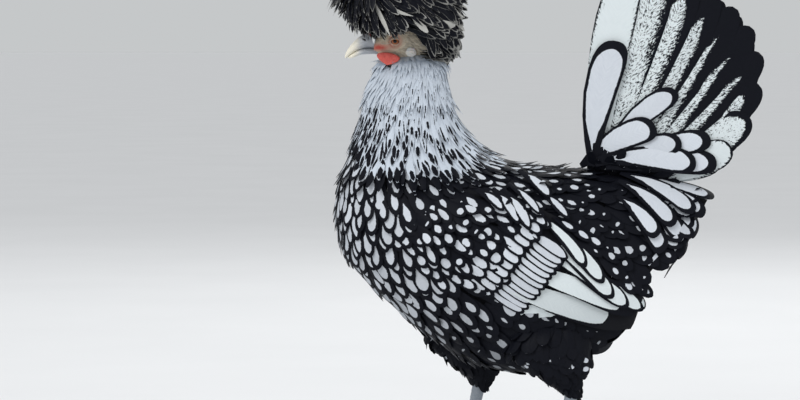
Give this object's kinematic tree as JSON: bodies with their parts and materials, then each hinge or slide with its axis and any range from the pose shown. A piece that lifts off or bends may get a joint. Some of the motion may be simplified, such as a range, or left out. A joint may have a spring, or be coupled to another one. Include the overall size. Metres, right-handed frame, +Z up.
{
  "type": "silver-laced polish hen figure",
  "caption": "Life-size still model of a silver-laced Polish hen, standing in a walking stance with a full globular crest and a raised, fanned tail.",
  "frame": {"origin": "on the floor, under the middle of the bird's bounding box", "axes": "the bird faces -X, its left side faces -Y, +Z is up"},
  "size_m": [0.3515, 0.1484, 0.446],
  "materials": {
    "crest_feather": "black vanes with fine white shafts and edges, soft sheen",
    "hackle_feather": "silver white hackle with black tips lower down",
    "laced_feather": "silver white vanes laced with blue-black",
    "fluff_feather": "black fluff with a few pale crescents",
    "tail_feather": "white vanes peppered and tipped with black",
    "face_skin": "pinkish bare skin with short pale feathers",
    "beak_horn": "blue-grey horn, cream at the tip",
    "comb_skin": "dark red, matt",
    "wattle_skin": "red, finely pebbled",
    "earlobe_skin": "white, smooth",
    "eye": "wet reddish bay iris with a black pupil",
    "leg_scale": "slate scales",
    "claw_horn": "pale grey-brown horn"
  },
  "bodies": {
    "root": {"crest": "crest_feather", "neck": "hackle_feather", "trunk": "laced_feather", "cushion": "laced_feather", "wing_left": "laced_feather", "wing_right": "laced_feather", "thigh_left": "fluff_feather", "thigh_right": "fluff_feather", "tail_left": "tail_feather", "tail_right": "tail_feather", "head": "face_skin", "beak_upper": "beak_horn", "beak_lower": "beak_horn", "comb": "comb_skin", "wattle_left": "wattle_skin", "wattle_right": "wattle_skin", "earlobe_left": "earlobe_skin", "earlobe_right": "earlobe_skin", "eye_left": "eye", "eye_right": "eye", "shank_left": "leg_scale", "toe_middle_left": "leg_scale", "toe_inner_left": "leg_scale", "toe_outer_left": "leg_scale", "toe_hind_left": "leg_scale", "shank_right": "leg_scale", "toe_middle_right": "leg_scale", "toe_inner_right": "leg_scale", "toe_outer_right": "leg_scale", "toe_hind_right": "leg_scale", "claw_middle_left": "claw_horn", "claw_inner_left": "claw_horn", "claw_outer_left": "claw_horn", "claw_hind_left": "claw_horn", "claw_middle_right": "claw_horn", "claw_inner_right": "claw_horn", "claw_outer_right": "claw_horn", "claw_hind_right": "claw_horn"}
  },
  "joints": []
}
